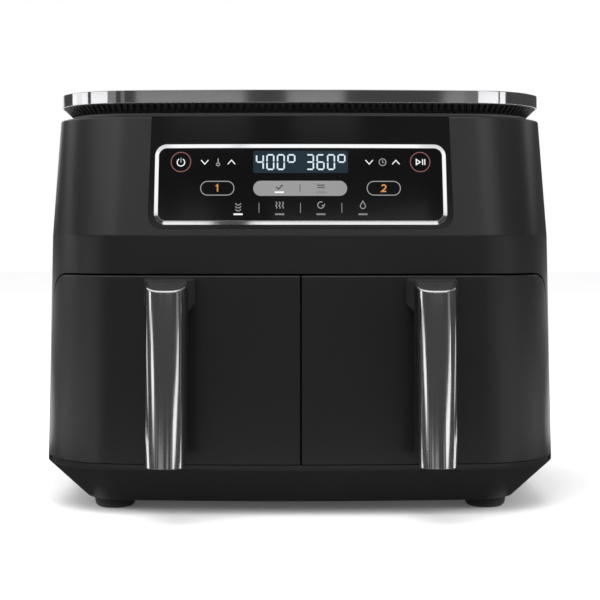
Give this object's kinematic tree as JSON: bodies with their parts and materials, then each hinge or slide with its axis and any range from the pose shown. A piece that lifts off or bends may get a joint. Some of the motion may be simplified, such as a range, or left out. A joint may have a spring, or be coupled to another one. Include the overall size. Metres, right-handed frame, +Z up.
{
  "type": "air fryer",
  "caption": "Two-drawer countertop air fryer with a sloping gloss control panel, a bright top band and bright upright drawer handles.",
  "frame": {"origin": "on the floor under the middle of the object, level with the bottom of the feet", "axes": "+X to the right seen from the front, +Y from the front to the back, +Z up"},
  "size_m": [0.395, 0.3492, 0.321],
  "materials": {
    "satin_charcoal_plastic": "satin charcoal moulding",
    "matte_black_plastic": "fine matte black moulding",
    "gloss_black_plastic": "polished black",
    "chrome_plate": "bright chrome plate",
    "display_lens": "polished tinted lens",
    "circuit_board": "solder mask",
    "ivory_plastic": "unpainted moulding",
    "steel_sheet": "aluminised sheet",
    "zinc_steel": "zinc plated",
    "heater_alloy": "oxidised heater sheath",
    "fan_aluminium": "stamped sheet",
    "motor_steel": "lacquered laminations",
    "nonstick_coating": "dark non-stick coat on steel",
    "magnet_ferrite": "ferrite in a coat of lacquer",
    "foot_rubber": "matte rubber",
    "bumper_silicone": "matte silicone"
  },
  "bodies": {
    "housing": {"outer_housing": "satin_charcoal_plastic", "rear_cover": "matte_black_plastic", "base_pan": "matte_black_plastic", "front_frame": "matte_black_plastic", "foot_front_left": "foot_rubber", "foot_front_right": "foot_rubber", "foot_rear_left": "foot_rubber", "foot_rear_right": "foot_rubber", "intake_grille": "matte_black_plastic", "trim_band": "chrome_plate", "top_cover": "satin_charcoal_plastic", "control_fascia": "gloss_black_plastic", "panel_bezel": "chrome_plate", "touch_panel": "gloss_black_plastic", "display_window": "display_lens", "display_board": "circuit_board", "power_board": "circuit_board", "board_tray": "ivory_plastic", "centre_partition": "steel_sheet", "cord_gland": "matte_black_plastic", "housing_screws": "zinc_steel", "base_screws": "zinc_steel", "left_liner": "steel_sheet", "left_heater": "heater_alloy", "left_heater_guard": "steel_sheet", "left_motor": "motor_steel", "left_motor_bracket": "steel_sheet", "left_probe": "zinc_steel", "left_reed_switch": "ivory_plastic", "right_liner": "steel_sheet", "right_heater": "heater_alloy", "right_heater_guard": "steel_sheet", "right_motor": "motor_steel", "right_motor_bracket": "steel_sheet", "right_probe": "zinc_steel", "right_reed_switch": "ivory_plastic"},
    "left_drawer": {"left_drawer_front": "satin_charcoal_plastic", "left_drawer_backing": "matte_black_plastic", "left_basket": "nonstick_coating", "left_magnet": "magnet_ferrite", "left_handle_core": "matte_black_plastic", "left_handle_cover": "chrome_plate", "left_handle_screws": "zinc_steel"},
    "left_crisper": {"left_crisper_plate": "nonstick_coating", "left_plate_bumpers": "bumper_silicone"},
    "left_rotor": {"left_fan": "fan_aluminium", "left_shaft": "zinc_steel", "left_cooling_fan": "matte_black_plastic"},
    "right_drawer": {"right_drawer_front": "satin_charcoal_plastic", "right_drawer_backing": "matte_black_plastic", "right_basket": "nonstick_coating", "right_magnet": "magnet_ferrite", "right_handle_core": "matte_black_plastic", "right_handle_cover": "chrome_plate", "right_handle_screws": "zinc_steel"},
    "right_crisper": {"right_crisper_plate": "nonstick_coating", "right_plate_bumpers": "bumper_silicone"},
    "right_rotor": {"right_fan": "fan_aluminium", "right_shaft": "zinc_steel", "right_cooling_fan": "matte_black_plastic"}
  },
  "joints": [
    {"name": "left_drawer_slide", "type": "slide", "parent": "housing", "child": "left_drawer", "axis": [0, -1, 0], "range_m": [0, 0.29]},
    {"name": "right_drawer_slide", "type": "slide", "parent": "housing", "child": "right_drawer", "axis": [0, -1, 0], "range_m": [0, 0.29]},
    {"name": "left_plate_lift", "type": "slide", "parent": "left_drawer", "child": "left_crisper", "axis": [0, 0, 1], "range_m": [0, 0.09]},
    {"name": "right_plate_lift", "type": "slide", "parent": "right_drawer", "child": "right_crisper", "axis": [0, 0, 1], "range_m": [0, 0.09]},
    {"name": "left_fan_spin", "type": "hinge", "parent": "housing", "child": "left_rotor", "pos_m": [-0.093, 0.0478, 0.2], "axis": [0, 0, 1], "continuous": true},
    {"name": "right_fan_spin", "type": "hinge", "parent": "housing", "child": "right_rotor", "pos_m": [0.093, 0.0478, 0.2], "axis": [0, 0, 1], "continuous": true}
  ]
}
